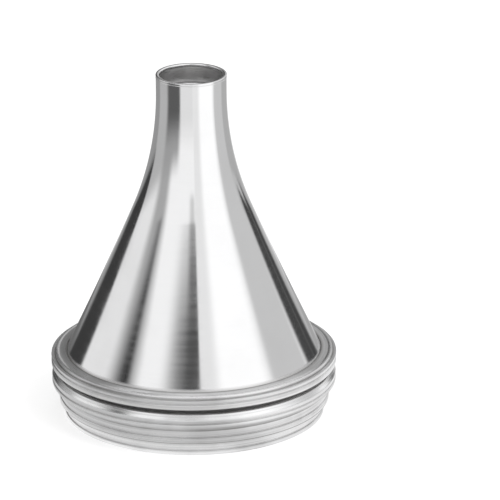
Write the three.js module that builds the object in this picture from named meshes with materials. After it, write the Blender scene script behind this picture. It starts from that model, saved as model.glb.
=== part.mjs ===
// Nest of four ear specula, graded in size and slipped one over another, wide end down.
// Each speculum is a spun metal funnel with a turned grip ring fixed round its wide end.
// Millimetres, +Z up, origin on the table under the common axis.

import * as THREE from 'three';

// Funnels, with the largest one's sizes. The smaller ones follow from them.
const wall = 0.36;
const largestTubeRadius = 4.07;
const largestTubeLength = 2.13;
const tubePlay = 0.19; // radial room between one tube and the next one inside it
const flareRadius = 34.94; // arc that joins the tube to the cone
const coneHalfAngle = THREE.MathUtils.degToRad(24.2);
const lipThickness = 0.42; // thicker rim at the tip, turned inwards
const lipBevel = 0.1;

// Grip rings, from the smallest, which stands on the table, to the largest
const smallestRingHeight = 1.59;
const secondRingHeight = 1.61;
const thirdRingHeight = 2.16;
const largestRingHeight = 1.58;
const largestRingRadius = 16.5;
const thirdSetBack = 0.06; // how much smaller a ring's radius is than that of the ring above it
const secondSetBack = 0.81;
const smallestSetBack = 0.58;
const largestRingLift = 0.65; // the largest ring sits this far above its funnel's edge
const ringTopWidth = 1.86; // from a ring's rim in to its funnel, across its top face
const ringFit = 0.05; // solder gap between a ring and its funnel
const grooveDepth = 0.15;
const grooveWidth = 0.24;
const edgeBevel = 0.1;
const lowerBevel = 0.18; // lower edges of the second and the largest ring
const shoulderHeight = 0.59; // wide bevel on top of the third ring
const shoulderWidth = 0.41;
const underHeight = 0.6; // wide bevel under the third ring
const underWidth = 0.69;
const footRounding = 0.4; // lower edge of the smallest ring
const collarHeight = 0.5; // upper part of the largest ring, set back from its rim
const collarSetBack = 0.45;
const collarFall = 0.14; // its top face falls this much on its way out

// The nest from the bottom up. The grooveShares are heights of grooves as shares of a ring's own.
const nest = [
  {
    size: 'size_1',
    setBack: smallestSetBack,
    ringHeight: smallestRingHeight,
    ringLift: 0,
    lowBevel: [footRounding, footRounding],
    topBevel: [edgeBevel, edgeBevel],
    collar: [],
    grooveShares: [0.38],
  },
  {
    size: 'size_2',
    setBack: secondSetBack,
    ringHeight: secondRingHeight,
    ringLift: 0,
    lowBevel: [lowerBevel, lowerBevel],
    topBevel: [edgeBevel, edgeBevel],
    collar: [],
    grooveShares: [0.48],
  },
  {
    size: 'size_3',
    setBack: thirdSetBack,
    ringHeight: thirdRingHeight,
    ringLift: 0,
    lowBevel: [underWidth, underHeight],
    topBevel: [shoulderWidth, shoulderHeight],
    collar: [],
    grooveShares: [0.49],
  },
  {
    size: 'size_4',
    setBack: 0,
    ringHeight: largestRingHeight,
    ringLift: largestRingLift,
    lowBevel: [lowerBevel, lowerBevel],
    topBevel: [edgeBevel, edgeBevel],
    collar: [collarSetBack, collarHeight],
    grooveShares: [0.42],
  },
];

// Facets
const turnSteps = 48;
const flareSteps = 5;

const coneSlope = Math.tan(coneHalfAngle);
const wallAcross = wall / Math.cos(coneHalfAngle); // the wall measured level, on the cone
const fitAcross = ringFit / Math.cos(coneHalfAngle);
const flareHeight = flareRadius * Math.sin(coneHalfAngle);
const flareSpread = flareRadius * (1 - Math.cos(coneHalfAngle));

// Height from a ring's top face to the place where its funnel's tube begins.
function riseToTube(topRadius, tubeRadius) {
  return (topRadius - tubeRadius - flareSpread) / coneSlope + flareHeight;
}

// All four share one length, from the edge of the wide end to the tip.
const largest = nest[nest.length - 1];
const speculumLength =
  largest.ringLift +
  largest.ringHeight +
  riseToTube(largestRingRadius - ringTopWidth, largestTubeRadius) +
  largestTubeLength;

function turned(outline) {
  const points = outline.map(([radius, height]) => new THREE.Vector2(radius, height));
  points.push(points[0].clone());
  const geometry = new THREE.LatheGeometry(points, turnSteps);
  geometry.rotateX(Math.PI / 2);
  return geometry;
}

// Outline of a funnel from its own wide edge at height 0: up outside, over the lip and down inside.
function funnelOutline({ edgeRadius, tubeRadius, flareTop }) {
  const lipInside = tubeRadius - lipThickness;
  const lipFoot = speculumLength - lipThickness;
  const flareCentre = tubeRadius + flareRadius;
  const outer = [];
  const inner = [];
  for (let step = 0; step <= flareSteps; step += 1) {
    const angle = (coneHalfAngle * step) / flareSteps;
    const reach = [Math.cos(angle), Math.sin(angle)];
    outer.unshift([flareCentre - flareRadius * reach[0], flareTop - flareRadius * reach[1]]);
    inner.push([
      flareCentre - (flareRadius + wall) * reach[0],
      flareTop - (flareRadius + wall) * reach[1],
    ]);
  }
  const lip = [
    [tubeRadius, speculumLength - lipBevel],
    [tubeRadius - lipBevel, speculumLength],
    [lipInside + lipBevel, speculumLength],
    [lipInside, speculumLength - lipBevel],
    [lipInside, lipFoot],
    [tubeRadius - wall, lipFoot - (lipThickness - wall)],
  ];
  return [[edgeRadius, 0], ...outer, ...lip, ...inner, [edgeRadius - wallAcross, 0]];
}

// Outline of a ring from its own underside at height 0: up outside and down its conical bore.
function ringOutline({ ringRadius, ringHeight, lowBevel, topBevel, collar, grooveShares }) {
  const boreTop = ringRadius - ringTopWidth + fitAcross;
  const boreBottom = boreTop + ringHeight * coneSlope;
  const [lowWidth, lowHeight] = lowBevel;
  const [topWidth, topHeight] = topBevel;
  const [setBack = 0, rise = 0] = collar;
  const rimTop = ringHeight - rise;
  const outline = [
    [boreBottom, 0],
    [ringRadius - lowWidth, 0],
    [ringRadius, lowHeight],
  ];
  for (const share of grooveShares) {
    const height = ringHeight * share;
    outline.push([ringRadius, height - grooveWidth / 2]);
    outline.push([ringRadius - grooveDepth, height]);
    outline.push([ringRadius, height + grooveWidth / 2]);
  }
  outline.push([ringRadius, rimTop - topHeight]);
  outline.push([ringRadius - topWidth, rimTop]);
  if (rise > 0) {
    const collarRadius = ringRadius - setBack;
    outline.push([collarRadius, rimTop]);
    outline.push([collarRadius, ringHeight - collarFall - edgeBevel]);
    outline.push([collarRadius - edgeBevel, ringHeight - collarFall]);
  }
  outline.push([boreTop, ringHeight]);
  return outline;
}

function polished() {
  return new THREE.MeshStandardMaterial({ color: 0xc9cacc, metalness: 1, roughness: 0.14 });
}

function grooved() {
  return new THREE.MeshStandardMaterial({ color: 0xbdbec0, metalness: 1, roughness: 0.34 });
}

function named(name, geometry, material) {
  const mesh = new THREE.Mesh(geometry, material);
  mesh.name = name;
  return mesh;
}

// One speculum in its own frame: funnel edge at height 0, ring lifted off it or level with it.
function speculum(row, ringRadius, tubeRadius) {
  const { size, ringHeight, ringLift } = row;
  const ringTop = ringLift + ringHeight;
  const topRadius = ringRadius - ringTopWidth;
  const funnel = funnelOutline({
    edgeRadius: topRadius + ringTop * coneSlope,
    tubeRadius,
    flareTop: ringTop + riseToTube(topRadius, tubeRadius),
  });
  const ring = named(`grip_ring_${size}`, turned(ringOutline({ ...row, ringRadius })), grooved());
  ring.position.z = ringLift;
  const group = new THREE.Group();
  group.add(named(`funnel_${size}`, turned(funnel), polished()), ring);
  return group;
}

function ringRadiusOf(index) {
  return nest.slice(index).reduce((radius, row) => radius - row.setBack, largestRingRadius);
}

function tubeRadiusOf(index) {
  return largestTubeRadius - (nest.length - 1 - index) * (wall + tubePlay);
}

const object = new THREE.Group();
let standing = 0;
nest.forEach((row, index) => {
  const piece = speculum(row, ringRadiusOf(index), tubeRadiusOf(index));
  piece.position.z = standing;
  object.add(piece);
  standing += row.ringLift + row.ringHeight;
});

export default object;
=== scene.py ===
import math

import bpy
from mathutils import Matrix, Vector


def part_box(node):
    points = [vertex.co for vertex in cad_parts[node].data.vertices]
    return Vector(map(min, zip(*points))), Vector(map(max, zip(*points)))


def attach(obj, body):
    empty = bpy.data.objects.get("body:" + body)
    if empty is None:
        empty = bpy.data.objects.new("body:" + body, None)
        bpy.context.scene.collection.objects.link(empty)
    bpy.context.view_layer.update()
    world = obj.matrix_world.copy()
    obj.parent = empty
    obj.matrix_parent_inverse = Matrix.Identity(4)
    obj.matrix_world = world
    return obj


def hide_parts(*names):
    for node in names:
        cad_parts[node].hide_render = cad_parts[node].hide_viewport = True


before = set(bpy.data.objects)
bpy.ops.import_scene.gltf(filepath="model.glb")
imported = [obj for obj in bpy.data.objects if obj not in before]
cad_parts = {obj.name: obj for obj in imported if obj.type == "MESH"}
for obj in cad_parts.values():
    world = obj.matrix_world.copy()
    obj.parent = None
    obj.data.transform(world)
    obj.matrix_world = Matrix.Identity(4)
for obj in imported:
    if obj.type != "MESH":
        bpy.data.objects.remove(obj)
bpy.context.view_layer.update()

MM = 0.001

# The nest, smallest speculum first. Ring radii and all heights come from the frame.
SIZES = ["size_1", "size_2", "size_3", "size_4"]
WALL = 0.36 * MM
LARGEST_TUBE_RADIUS = 4.07 * MM
TUBE_PLAY = 0.19 * MM
RING_TOP_WIDTH = 1.86 * MM
RING_FIT = 0.05 * MM

# Facets
TURN_STEPS = 256
FLARE_STEPS = 40
CONE_STEPS = 60
LIP_STEPS = 8
SCORE_STEPS = 4
BAND_STEPS = 6
CORNER_STEPS = 5

# A rounded corner takes at most the first share of the way to each neighbour, and its supports
# stand off from it by the second share of what it takes.
CORNER_REACH_SHARE = 0.42
CORNER_SUPPORT_SHARE = 0.12


# Outlines are lists of (radius, height, shade), where the shade runs from 0 to 1 and darkens the metal:
# painted shade, with some grime in the ring grooves.
def lathe(name, outline):
    """A closed outline turned about the Z axis."""
    verts = []
    grime_and_shade = []
    for step in range(TURN_STEPS):
        angle = 2 * math.pi * step / TURN_STEPS
        for radius, height, dirt_and_shade in outline:
            verts.append((radius * math.cos(angle), radius * math.sin(angle), height))
            grime_and_shade.append(dirt_and_shade)
    count = len(outline)
    faces = []
    for step in range(TURN_STEPS):
        here = step * count
        there = ((step + 1) % TURN_STEPS) * count
        for i in range(count):
            j = (i + 1) % count
            faces.append((here + i, there + i, there + j, here + j))
    mesh = bpy.data.meshes.new(name)
    mesh.from_pydata(verts, [], faces)
    layer = mesh.attributes.new("grime_and_shade", "FLOAT", "POINT")
    layer.data.foreach_set("value", grime_and_shade)
    mesh.validate()
    mesh.shade_smooth()
    obj = bpy.data.objects.new(name, mesh)
    bpy.context.scene.collection.objects.link(obj)
    return obj


def corner(point, before, after, radius):
    """The points of a rounded corner between two neighbours, with a support on each side."""
    place = Vector(point[:2])
    back = Vector(before[:2]) - place
    ahead = Vector(after[:2]) - place
    half = back.angle(ahead) / 2
    shorter = min(CORNER_REACH_SHARE * back.length, CORNER_REACH_SHARE * ahead.length)
    reach = min(radius / math.tan(half), shorter)
    radius = reach * math.tan(half)
    support = CORNER_SUPPORT_SHARE * reach
    back.normalize()
    ahead.normalize()
    centre = place + (back + ahead).normalized() * (radius / math.sin(half))
    start = place + back * reach - centre
    turn = start.angle_signed(place + ahead * reach - centre)
    points = [place + back * (reach + support)]
    for step in range(CORNER_STEPS + 1):
        arm = start.copy()
        arm.rotate(Matrix.Rotation(-turn * step / CORNER_STEPS, 2))
        points.append(centre + arm)
    points.append(place + ahead * (reach + support))
    return [(radius, height, point[2]) for radius, height in points]


def rounded(points):
    """A closed outline from points of (radius, height, painted shade, rounding)."""
    outline = []
    count = len(points)
    for i, point in enumerate(points):
        if point[3]:
            outline += corner(point, points[i - 1], points[(i + 1) % count], point[3])
        else:
            outline.append(point[:3])
    return outline


# Funnels. Flare and cone are two arcs that meet at FLARE_END, which is an angle to the axis.
FLARE_RADIUS = 34.94 * MM
FLARE_END = math.radians(22.9)
CONE_RADIUS = 405 * MM
CONE_HALF_ANGLE = math.radians(24.2)
CONE_SLOPE = math.tan(CONE_HALF_ANGLE)
LIP_THICKNESS = 0.42 * MM
LIP_OUTER_ROUNDING = 0.08 * MM
LIP_INNER_ROUNDING = 0.16 * MM
SCORE_DROP = 0.27 * MM
SCORE_DEPTH = 0.03 * MM
SCORE_HALF_WIDTH = 1.5 * SCORE_DEPTH
SCORE_EDGE = 1.6 * SCORE_DEPTH
SCORE_START = 3 * SCORE_DEPTH
JOINT_SHARE = 0.1

# Painted shade along a funnel: inside, on the edge hidden in the ring, at the joint with the ring,
# under the lip and in the score line. The rest of its outside has none.
INSIDE_SHADE = 0.5
HIDDEN_SHADE = 0.6
JOINT_SHADE = 0.5
SCORE_SHADE = 0.5
SCORE_EDGE_SHADE = 0.1
LIP_FOOT_SHADE = 0.4


def bell(tube_radius, top_radius, ring_top, offset):
    """Cone and flare from the ring's top face up to the tube, offset inwards."""
    flare_out = tube_radius + FLARE_RADIUS * (1 - math.cos(FLARE_END))
    last = math.acos(math.cos(FLARE_END) - (top_radius - flare_out) / CONE_RADIUS)
    flare_low = ring_top + CONE_RADIUS * (math.sin(last) - math.sin(FLARE_END))
    points = []
    for step in range(CONE_STEPS + 1):
        angle = last + (FLARE_END - last) * step / CONE_STEPS
        radius = flare_out + CONE_RADIUS * (math.cos(FLARE_END) - math.cos(angle))
        height = flare_low - CONE_RADIUS * (math.sin(angle) - math.sin(FLARE_END))
        points.append((radius - offset * math.cos(angle), height - offset * math.sin(angle)))
    for step in range(1, FLARE_STEPS + 1):
        angle = FLARE_END * (1 - step / FLARE_STEPS)
        radius = tube_radius + FLARE_RADIUS * (1 - math.cos(angle))
        height = flare_low + FLARE_RADIUS * (math.sin(FLARE_END) - math.sin(angle))
        points.append((radius - offset * math.cos(angle), height - offset * math.sin(angle)))
    return points


def score(tube_radius, middle):
    """A fine line turned into the tube under its lip, from below it to above it."""
    points = [(tube_radius, middle - SCORE_START, 0)]
    points.append((tube_radius, middle - SCORE_EDGE, SCORE_EDGE_SHADE))
    # Painted shade darkens the line, most at its bottom, as the shade under the lip.
    for step in range(-SCORE_STEPS, SCORE_STEPS + 1):
        share = step / SCORE_STEPS
        radius = tube_radius - SCORE_DEPTH * (1 - share * share)
        points.append((radius, middle + SCORE_HALF_WIDTH * share, SCORE_SHADE * (1 - abs(share))))
    points.append((tube_radius, middle + SCORE_EDGE, SCORE_EDGE_SHADE))
    return points


def lip(tube_radius, tip):
    """The thicker rim at the tip: over its two roundings and back to the wall inside."""
    inside = tube_radius - LIP_THICKNESS
    foot = tip - LIP_THICKNESS
    points = []
    for centre, rounding, first in (
        (tube_radius - LIP_OUTER_ROUNDING, LIP_OUTER_ROUNDING, 0),
        (inside + LIP_INNER_ROUNDING, LIP_INNER_ROUNDING, math.pi / 2),
    ):
        for step in range(LIP_STEPS + 1):
            angle = first + math.pi / 2 * step / LIP_STEPS
            height = tip - rounding + rounding * math.sin(angle)
            points.append((centre + rounding * math.cos(angle), height, 0))
    # Painted shade inside, under the lip.
    points.append((inside, foot, LIP_FOOT_SHADE))
    points.append((tube_radius - WALL, foot - (LIP_THICKNESS - WALL), INSIDE_SHADE))
    return points


def funnel_outline(foot, tip, top_radius, ring_top, tube_radius):
    """From the wide edge up outside, over the lip and down inside."""
    drop = ring_top - foot
    joint = JOINT_SHARE * drop
    edge_radius = top_radius + drop * CONE_SLOPE
    # The inside, the edge hidden in the ring and the joint with it get painted shade.
    points = [(edge_radius, foot, INSIDE_SHADE)]
    points.append((top_radius + joint * CONE_SLOPE, ring_top - joint, HIDDEN_SHADE))
    for i, (radius, height) in enumerate(bell(tube_radius, top_radius, ring_top, 0)):
        points.append((radius, height, JOINT_SHADE if i == 0 else 0))
    points += score(tube_radius, tip - SCORE_DROP)
    points += lip(tube_radius, tip)
    for radius, height in reversed(bell(tube_radius, top_radius, ring_top, WALL)):
        points.append((radius, height, INSIDE_SHADE))
    points.append((edge_radius - WALL / math.cos(CONE_HALF_ANGLE), foot, INSIDE_SHADE))
    return points


# Rings. A band is a slightly crowned stretch above or below the groove. SHOULDER and UNDER are
# the width and height of the bevels on top of and under the third ring.
GROOVE_SHARE = {"size_1": 0.38, "size_2": 0.48, "size_3": 0.49, "size_4": 0.42}
GROOVE_DEPTH = 0.13 * MM
GROOVE_WIDTH = 0.24 * MM
GROOVE_FLOOR = 0.4 * GROOVE_WIDTH
CROWN = 0.02 * MM
EDGE = 0.04 * MM
RIM_ROUNDING = 0.13 * MM
SHOULDER_ROUNDING = 0.1 * MM
LOW_ROUNDING = {"size_1": 0.42 * MM, "size_2": 0.3 * MM, "size_3": 0.3 * MM, "size_4": 0.22 * MM}
SHOULDER = (0.41 * MM, 0.59 * MM)
SHOULDER_SUPPORT_SHARE = 0.8
UNDER = (0.69 * MM, 0.6 * MM)
COLLAR_HEIGHT = 0.5 * MM
COLLAR_SET_BACK = 0.45 * MM
COLLAR_FALL = 0.14 * MM
NOTCH = 0.05 * MM
LAND = 0.4 * MM
DISH_DEPTH = 0.04 * MM
DISH_BEND = 0.6 * DISH_DEPTH
DISH_RUN = 3 * DISH_DEPTH

# Painted shade along a ring: at the joints between rings, under the third ring, in the notch, the dish
# and the bore, and deepening across the top face towards the bore; the groove holds grime and painted
# shade. The top-edge values are for the two rings that have neither shoulder nor collar, and the face
# values pair a distance from the bore with the painted shade there. An even dimming on every other face
# leaves the third ring's shoulder as a painted highlight.
BAND_DIMMING = 0.13
BAND_EDGE_SHADE = 0.15
LOW_EDGE_SHADE = {"size_1": 0.2, "size_2": 1.0, "size_3": 0.3, "size_4": 0.45}
HIGH_EDGE_SHADE = {"size_1": 1.0, "size_2": 0.6}
GROOVE_GRIME_AND_SHADE = 0.35
UNDER_SHADE = 0.7
SHOULDER_TOP_SHADE = 0.5
NOTCH_SHADES = (0.3, 0.8, 0.6)
DISH_SHADE = 0.2
FACE_SHADES = ((0.5 * MM, 0.25), (0.2 * MM, 0.5))
BORE_TOP_SHADE = 0.9
BORE_BOTTOM_SHADE = 0.8


def band(radius, low, high):
    """A band from its lower to its upper edge, each of (height, painted shade, rounding)."""
    rise = high[0] - low[0]
    points = [(radius - CROWN, *low)]
    for step in range(1, BAND_STEPS):
        share = 2 * step / BAND_STEPS - 1
        height = low[0] + rise * step / BAND_STEPS
        points.append((radius - CROWN * share * share, height, BAND_DIMMING, 0))
    points.append((radius - CROWN, *high))
    return points


def top_face(rim, face, bore_top, top):
    """From a narrow land at the rim, over the dished face, to the bore."""
    slope = (top - face) / (rim - bore_top)
    land_end = rim - LAND
    land_height = face + slope * LAND
    dish_height = face + slope * (LAND + DISH_RUN) - DISH_DEPTH
    points = [(land_end, land_height, BAND_DIMMING, 0)]
    # Painted shade in the dish.
    points.append((land_end - DISH_DEPTH, land_height - DISH_BEND, DISH_SHADE, 0))
    points.append((land_end - DISH_RUN, dish_height, DISH_SHADE, 0))
    # Painted shade deepens towards the bore.
    for reach, grime_and_shade in FACE_SHADES:
        points.append((bore_top + reach, top - reach * slope - DISH_DEPTH, grime_and_shade, 0))
    points.append((bore_top, top - DISH_DEPTH, BORE_TOP_SHADE, EDGE))
    return points


def ring_outline(size, bottom, top, radius):
    """From the foot of the conical bore out, up over the groove and in across the top."""
    height = top - bottom
    bore_top = radius - RING_TOP_WIDTH + RING_FIT
    # Painted shade in the bore.
    points = [(bore_top + height * CONE_SLOPE, bottom, BORE_BOTTOM_SHADE, EDGE)]
    low = bottom
    # Painted shade under the third ring.
    if size == "size_3":
        points.append((radius - UNDER[0], bottom, UNDER_SHADE, 2 * EDGE))
        low = bottom + UNDER[1]
    level = bottom + height * GROOVE_SHARE[size]
    # Painted shade at each ring's lower edge and beside the groove, with grime and painted shade in the
    # groove.
    groove_edge = (BAND_EDGE_SHADE, EDGE)
    points += band(
        radius,
        (low, LOW_EDGE_SHADE[size], LOW_ROUNDING[size]),
        (level - GROOVE_WIDTH / 2, *groove_edge),
    )
    points.append((radius - GROOVE_DEPTH, level - GROOVE_FLOOR / 2, GROOVE_GRIME_AND_SHADE, EDGE))
    points.append((radius - GROOVE_DEPTH, level + GROOVE_FLOOR / 2, GROOVE_GRIME_AND_SHADE, EDGE))
    above = (level + GROOVE_WIDTH / 2, *groove_edge)
    rim = radius
    face = top
    if size == "size_3":
        rim = radius - SHOULDER[0]
        shoulder_low = top - SHOULDER[1]
        # The shoulder bevel is left undimmed, unlike the bands: a painted highlight.
        points += band(radius, above, (shoulder_low, 0, SHOULDER_ROUNDING))
        support_radius = radius - SHOULDER_SUPPORT_SHARE * SHOULDER[0]
        support_height = top - (1 - SHOULDER_SUPPORT_SHARE) * SHOULDER[1]
        points.append((support_radius, support_height, 0, 0))
        points.append((rim, top, SHOULDER_TOP_SHADE, RIM_ROUNDING))
    elif size == "size_4":
        rim = radius - COLLAR_SET_BACK
        face = top - COLLAR_FALL
        ledge = top - COLLAR_HEIGHT
        points += band(radius, above, (ledge, BAND_EDGE_SHADE, RIM_ROUNDING))
        # Painted shade in the notch under the collar.
        points.append((rim + 2 * NOTCH, ledge, NOTCH_SHADES[0], EDGE))
        points.append((rim + NOTCH, ledge - NOTCH, NOTCH_SHADES[1], EDGE))
        points.append((rim, ledge, NOTCH_SHADES[2], EDGE))
        points.append((rim, face, BAND_DIMMING, RIM_ROUNDING))
    else:
        # Painted shade at the top edge, under the next ring.
        points += band(radius, above, (top, HIGH_EDGE_SHADE[size], RIM_ROUNDING))
    points += top_face(rim, face, bore_top, top)
    return rounded(points)


# Shader helpers. A Mix node has sockets for each type of data: two values and the result.
MIX_SOCKETS = {"FLOAT": (2, 3, 0), "RGBA": (6, 7, 2)}


class Graph:
    def __init__(self, owner):
        owner.use_nodes = True
        self.nodes = owner.node_tree.nodes
        self.links = owner.node_tree.links

    def add(self, kind, **settings):
        node = self.nodes.new("ShaderNode" + kind)
        for name, value in settings.items():
            setattr(node, name, value)
        return node

    def plug(self, socket, value):
        if isinstance(value, bpy.types.NodeSocket):
            self.links.new(value, socket)
        else:
            socket.default_value = value

    def calc(self, operation, *values):
        node = self.add("Math", operation=operation)
        for socket, value in zip(node.inputs, values):
            self.plug(socket, value)
        return node.outputs[0]

    def fade(self, value, start, end, low=0.0, high=1.0):
        """From low at start to high at end, smoothly and clamped."""
        node = self.add("MapRange", interpolation_type="SMOOTHSTEP")
        self.plug(node.inputs["Value"], value)
        if start > end:
            start, end, low, high = end, start, high, low
        for name, number in (("From Min", start), ("From Max", end), ("To Min", low), ("To Max", high)):
            node.inputs[name].default_value = number
        return node.outputs["Result"]

    def blend(self, factor, first, second, data_type="FLOAT"):
        node = self.add("Mix", data_type=data_type)
        first_socket, second_socket, result = MIX_SOCKETS[data_type]
        self.plug(node.inputs[0], factor)
        self.plug(node.inputs[first_socket], first)
        self.plug(node.inputs[second_socket], second)
        return node.outputs[result]

    def blend_shaders(self, factor, first, second):
        node = self.add("MixShader")
        for socket, value in zip(node.inputs, (factor, first, second)):
            self.plug(socket, value)
        return node.outputs[0]

    def noise(self, vector, scale, detail):
        node = self.add("TexNoise")
        self.links.new(vector, node.inputs["Vector"])
        node.inputs["Scale"].default_value = scale
        node.inputs["Detail"].default_value = detail
        return node.outputs["Fac"]

    def split(self, vector):
        node = self.add("SeparateXYZ")
        self.links.new(vector, node.inputs[0])
        return node.outputs


# Metals. Noise is given as (scale, detail), and a range is where a fade starts and ends.
CLOUD_NOISE = (190, 4.0)
LINE_NOISE = (9000, 3.0)
COARSE_LINE_NOISE = (2300, 2.0)
STREAK_NOISE = (5200, 2.0)
TURN_STRETCH = 0.00012
CLOUD_RANGE = (0.42, 0.72)
STREAK_RANGE = (0.46, 0.66)
COARSE_RANGE = (0.3, 0.7)
UNEVEN_SHARE = 0.3


def turned_coordinates(graph):
    """Radius, height and a short way round the axis, so that noise runs in turned lines."""
    place = graph.add("TexCoord").outputs["Object"]
    x, y, z = graph.split(place)
    squares = graph.calc("ADD", graph.calc("MULTIPLY", x, x), graph.calc("MULTIPLY", y, y))
    join = graph.add("CombineXYZ")
    graph.links.new(graph.calc("SQRT", squares), join.inputs[0])
    graph.links.new(z, join.inputs[1])
    along = graph.calc("MULTIPLY", graph.calc("ARCTAN2", y, x), TURN_STRETCH)
    graph.links.new(along, join.inputs[2])
    return place, join.outputs[0]


def metal(name, bright, dark, roughness, haze, wear, streak, line_depth):
    """Metal that painted shade (with some grime), stains and turned streaks darken and make less
    glossy.
    """
    material = bpy.data.materials.new(name)
    graph = Graph(material)
    surface = graph.nodes["Principled BSDF"]
    surface.inputs["Metallic"].default_value = 1.0
    place, turned = turned_coordinates(graph)
    grime_and_shade = graph.add("Attribute", attribute_name="grime_and_shade").outputs["Fac"]
    clouds = graph.noise(place, *CLOUD_NOISE)
    lines = graph.noise(turned, *LINE_NOISE)
    coarse = graph.noise(turned, *COARSE_LINE_NOISE)
    stain_and_shade = graph.calc("MULTIPLY", graph.fade(clouds, *CLOUD_RANGE), wear)
    streaks = graph.fade(graph.noise(turned, *STREAK_NOISE), *STREAK_RANGE)
    stain_and_shade = graph.calc("ADD", stain_and_shade, graph.calc("MULTIPLY", streaks, streak))
    # The mesh attribute adds painted shade, with some grime in the grooves.
    stain_and_shade = graph.calc("ADD", stain_and_shade, grime_and_shade)
    colour = graph.blend(stain_and_shade, (*bright, 1), (*dark, 1), "RGBA")
    graph.links.new(colour, surface.inputs["Base Color"])
    uneven = graph.calc("MULTIPLY", graph.fade(coarse, *COARSE_RANGE), UNEVEN_SHARE * roughness)
    rough = graph.calc("ADD", roughness, uneven)
    rough = graph.calc("ADD", rough, graph.calc("MULTIPLY", stain_and_shade, haze))
    graph.links.new(rough, surface.inputs["Roughness"])
    bump = graph.add("Bump")
    bump.inputs["Strength"].default_value = 1.0
    bump.inputs["Distance"].default_value = line_depth
    graph.links.new(graph.calc("ADD", lines, coarse), bump.inputs["Height"])
    graph.links.new(bump.outputs[0], surface.inputs["Normal"])
    return material


FUNNEL_METAL = metal(
    "polished plating",
    bright=(0.90, 0.90, 0.905),
    dark=(0.55, 0.54, 0.53),
    roughness=0.075,
    haze=0.6,
    wear=0.06,
    streak=0.016,
    line_depth=0.0003 * MM,
)
# Its bright colour shows undimmed only on the third ring's shoulder, a painted highlight.
RING_METAL = metal(
    "turned plating",
    bright=(0.95, 0.95, 0.955),
    dark=(0.28, 0.275, 0.27),
    roughness=0.19,
    haze=0.3,
    wear=0.2,
    streak=0.2,
    line_depth=0.005 * MM,
)

for index, size in enumerate(SIZES):
    body = "speculum_" + size
    ring_low, ring_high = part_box("grip_ring_" + size)
    funnel_low, funnel_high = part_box("funnel_" + size)
    ring_radius = ring_high[0]
    tube_radius = LARGEST_TUBE_RADIUS - (len(SIZES) - 1 - index) * (WALL + TUBE_PLAY)
    top_radius = ring_radius - RING_TOP_WIDTH
    outline = funnel_outline(funnel_low[2], funnel_high[2], top_radius, ring_high[2], tube_radius)
    funnel = lathe("spun_funnel_" + size, outline)
    funnel.data.materials.append(FUNNEL_METAL)
    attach(funnel, body)
    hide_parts("funnel_" + size)
    ring = lathe("turned_ring_" + size, ring_outline(size, ring_low[2], ring_high[2], ring_radius))
    ring.data.materials.append(RING_METAL)
    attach(ring, body)
    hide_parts("grip_ring_" + size)

# Camera, as fitted to the square photograph. Angles are in radians and the sensor's width is in
# millimetres. The target pixel is where the photograph shows the target.
ELEVATION = 0.3427
ROLL = 0.0099
DISTANCE = 631.35 * MM
TARGET = Vector((0, 0, 21.12 * MM))
TARGET_PIXEL = (192.783, 235.951)
IMAGE_SIDE = 500
FOCAL_PIXELS = 5490.34
SENSOR = 36.0
CLIP = (0.01, 20)


def camera():
    right = Vector((1, 0, 0))
    up = Vector((0, math.sin(ELEVATION), math.cos(ELEVATION)))
    back = Vector((0, -math.cos(ELEVATION), math.sin(ELEVATION)))
    place = TARGET + back * DISTANCE
    cosine, sine = math.cos(ROLL), math.sin(ROLL)
    right, up = right * cosine - up * sine, right * sine + up * cosine
    across = (IMAGE_SIDE / 2 - TARGET_PIXEL[0]) / FOCAL_PIXELS
    down = (IMAGE_SIDE / 2 - TARGET_PIXEL[1]) / FOCAL_PIXELS
    back = (back - right * across + up * down).normalized()
    right = (right - back * right.dot(back)).normalized()
    up = back.cross(right)
    data = bpy.data.cameras.new("camera")
    data.sensor_width = SENSOR
    data.lens = FOCAL_PIXELS * SENSOR / IMAGE_SIDE
    data.clip_start, data.clip_end = CLIP
    obj = bpy.data.objects.new("camera", data)
    obj.matrix_world = Matrix.Translation(place) @ Matrix((right, up, back)).transposed().to_4x4()
    bpy.context.scene.collection.objects.link(obj)
    bpy.context.scene.camera = obj


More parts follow.
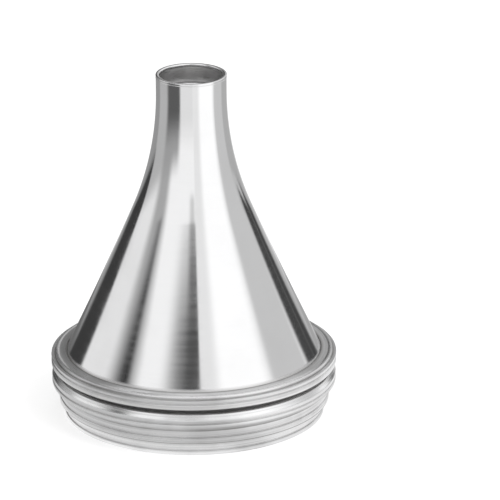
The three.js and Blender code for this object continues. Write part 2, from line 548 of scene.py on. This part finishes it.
# Studio. The room that the metal mirrors is pale, and each flag sets the brightness of one part
# of it, over the flags before it. Azimuths are degrees from the camera's side, positive to its
# right, and elevations are degrees above the level. Soft edges lie outside these angles.
ROOM = 0.98
AMBIENT = 0.55
BACKDROP = 1.0
FLAGS = [
    # azimuth from, to, soft edges, elevation from, to, soft edges, brightness
    (-112, -86, 10, 10, -90, 36, 2, 10, 0.84),
    (30, 66, 10, 8, -90, 36, 2, 10, 1.12),
    (80, 116, 8, 6, -90, 24, 2, 8, 0.6),
    (-160, -112, 14, 14, -90, -9, 2, 5, 0.32),
    (-118, -84, 8, 10, -90, -1, 2, 10, 0.48),
    (118, 152, 8, 16, -90, -5, 2, 4, 0.45),
    (-77, -64, 14, 14, -90, 33, 2, 8, 0.42),
    (-76, -44, 13, 14, -90, -3, 2, 12, 0.36),
    (-75, -43, 13, 14, -90, -15, 2, 12, 0.11),
    (-30, 2, 10, 6, -90, -14, 2, 14, 0.8),
    (-160, -128, 14, 6, 5, 60, 2, 12, 0.34),
    (-130, -118, 6, 6, 12, 60, 3, 12, 0.34),
    (-158, -122, 16, 5, -6, 4.5, 4, 2.5, 0.045),
    (125, 135, 11, 8, -0.5, 4, 3.5, 2.5, 0.06),
    (138.5, 144, 8, 16, -4.4, 4, 3, 2.5, 0.06),
    (-71, -67, 14, 7, 21.5, 90, 4, 2, 0.02),
    (-1, 1, 9, 6, 18, 38, 4, 10, 0.66),
    (-14, 5, 22, 2, 26.8, 38, 1.2, 10, 0.62),
    (-2, 5, 9, 2, 26.9, 38, 1.4, 10, 0.16),
    (-4, 5, 35, 2, 28.6, 38, 1.6, 10, 0.068),
    (-180, -160, 1, 14, 20, 55, 4, 14, 0.3),
    (-180, -150, 1, 14, 4, 23.5, 4, 4, 0.1),
    (160, 180, 14, 1, -10, 55, 6, 14, 0.5),
    (6, 16, 1, 10, -90, 36, 2, 10, 0.86),
]


def flag_mask(graph, azimuth, elevation, across, upright):
    """1 inside a flag and 0 outside. Both its spans are (from, to, soft edge, soft edge)."""
    start, end, soft_start, soft_end = across
    low, high, soft_low, soft_high = upright
    mask = graph.calc(
        "MULTIPLY",
        graph.fade(azimuth, start - soft_start, start),
        graph.fade(azimuth, end + soft_end, end),
    )
    # A flag that reaches straight down or up has no edge there.
    if low > -90:
        mask = graph.calc("MULTIPLY", mask, graph.fade(elevation, low - soft_low, low))
    if high < 90:
        mask = graph.calc("MULTIPLY", mask, graph.fade(elevation, high + soft_high, high))
    return mask


def room():
    world = bpy.data.worlds.new("studio")
    bpy.context.scene.world = world
    graph = Graph(world)
    x, y, z = graph.split(graph.add("TexCoord").outputs["Generated"])
    azimuth = graph.calc("DEGREES", graph.calc("ARCTAN2", x, graph.calc("MULTIPLY", y, -1.0)))
    elevation = graph.calc("DEGREES", graph.calc("ARCSINE", z))
    shine = ROOM
    for flag in FLAGS:
        mask = flag_mask(graph, azimuth, elevation, flag[:4], flag[4:8])
        shine = graph.blend(mask, shine, flag[8])
    path = graph.add("LightPath")
    level = graph.blend(path.outputs["Is Glossy Ray"], AMBIENT, shine)
    level = graph.blend(path.outputs["Is Camera Ray"], level, BACKDROP)
    background = graph.nodes["Background"]
    background.inputs["Color"].default_value = (1, 1, 1, 1)
    graph.links.new(level, background.inputs["Strength"])


# Floor. The camera sees it plain and pale. The metal mirrors it near the nest only, with painted light
# and shade: painted shade to the left and far behind, a painted pool of light under the nest, and a
# painted shadow of the nest behind it on the left.
FLOOR_REACH = 4.0
FLOOR_COLOUR = (0.8, 0.8, 0.8, 1)
FLOOR_GLOW = 0.6
MIRRORED_RANGE = (55 * MM, 80 * MM)
# Painted light and shade of the floor as the metal mirrors it.
SIDE_RANGE = (2 * MM, 22 * MM)
SIDE_SHADE_LEVELS = (0.66, 1.0)
UNDER_NEST_RANGE = (15.5 * MM, 19.5 * MM)
UNDER_NEST_LIGHT_LEVEL = 1.0
FAR_RANGE = (22 * MM, 40 * MM)
FAR_SHADE_LEVEL = 0.38
PAINTED_SHADOW_AWAY = (-0.766, 0.643)
PAINTED_SHADOW_ACROSS = (0.643, 0.766)
PAINTED_SHADOW_AWAY_RANGE = (14 * MM, 20 * MM)
PAINTED_SHADOW_ACROSS_RANGE = (-9 * MM, -2 * MM)
PAINTED_SHADOW_LEVEL = 0.15


def painted_floor_light(graph, place, distance):
    """The brightness of the floor in reflections, with painted light and shade."""
    x, y = graph.split(place)[:2]

    def along(way):
        return graph.calc("ADD", graph.calc("MULTIPLY", x, way[0]), graph.calc("MULTIPLY", y, way[1]))

    # Painted shade on the left side, then a painted pool of light under the nest and painted shade far
    # behind.
    level = graph.fade(x, *SIDE_RANGE, *SIDE_SHADE_LEVELS)
    level = graph.blend(graph.fade(distance, *UNDER_NEST_RANGE), UNDER_NEST_LIGHT_LEVEL, level)
    level = graph.blend(graph.fade(y, *FAR_RANGE), level, FAR_SHADE_LEVEL)
    # A painted shadow of the nest, behind it on the left.
    away = graph.fade(along(PAINTED_SHADOW_AWAY), *PAINTED_SHADOW_AWAY_RANGE)
    across = graph.fade(along(PAINTED_SHADOW_ACROSS), *PAINTED_SHADOW_ACROSS_RANGE)
    return graph.blend(graph.calc("MULTIPLY", away, across), level, PAINTED_SHADOW_LEVEL)


def floor_material():
    material = bpy.data.materials.new("pale floor")
    graph = Graph(material)
    surface = graph.nodes["Principled BSDF"]
    surface.inputs["Base Color"].default_value = FLOOR_COLOUR
    surface.inputs["Roughness"].default_value = 1.0
    surface.inputs["Specular IOR Level"].default_value = 0.0
    surface.inputs["Emission Color"].default_value = (1, 1, 1, 1)
    path = graph.add("LightPath")
    glow = graph.calc("MULTIPLY", path.outputs["Is Camera Ray"], FLOOR_GLOW)
    graph.links.new(glow, surface.inputs["Emission Strength"])
    place = graph.add("TexCoord").outputs["Object"]
    length = graph.add("VectorMath", operation="LENGTH")
    graph.links.new(place, length.inputs[0])
    distance = length.outputs["Value"]
    # Reflections see this glow, with its painted light and shade, instead of the lit floor.
    painted_floor_glow = graph.add("Emission")
    graph.links.new(painted_floor_light(graph, place, distance), painted_floor_glow.inputs["Strength"])
    clear = graph.add("BsdfTransparent")
    gone = graph.fade(distance, *MIRRORED_RANGE)
    seen = graph.blend_shaders(gone, painted_floor_glow.outputs[0], clear.outputs[0])
    shader = graph.blend_shaders(path.outputs["Is Glossy Ray"], surface.outputs[0], seen)
    graph.links.new(shader, graph.nodes["Material Output"].inputs["Surface"])
    return material


def floor():
    corners = [(x * FLOOR_REACH, y * FLOOR_REACH, 0) for x, y in ((-1, -1), (1, -1), (1, 1), (-1, 1))]
    mesh = bpy.data.meshes.new("floor")
    mesh.from_pydata(corners, [], [(0, 1, 2, 3)])
    mesh.materials.append(floor_material())
    obj = bpy.data.objects.new("floor", mesh)
    bpy.context.scene.collection.objects.link(obj)


def softbox(name, azimuth, elevation, distance, size, power):
    data = bpy.data.lights.new(name, "AREA")
    data.shape = "DISK"
    data.size = size
    data.energy = power
    obj = bpy.data.objects.new(name, data)
    side = math.radians(azimuth)
    rise = math.radians(elevation)
    level = math.cos(rise)
    away = Vector((math.sin(side) * level, -math.cos(side) * level, math.sin(rise)))
    obj.location = away * distance
    obj.rotation_euler = away.to_track_quat("Z", "Y").to_euler()
    obj.visible_glossy = False
    obj.visible_camera = False
    bpy.context.scene.collection.objects.link(obj)


camera()
room()
floor()
softbox("key", azimuth=50, elevation=45, distance=0.6, size=0.4, power=0.9)

bpy.context.scene.view_settings.view_transform = "Standard"
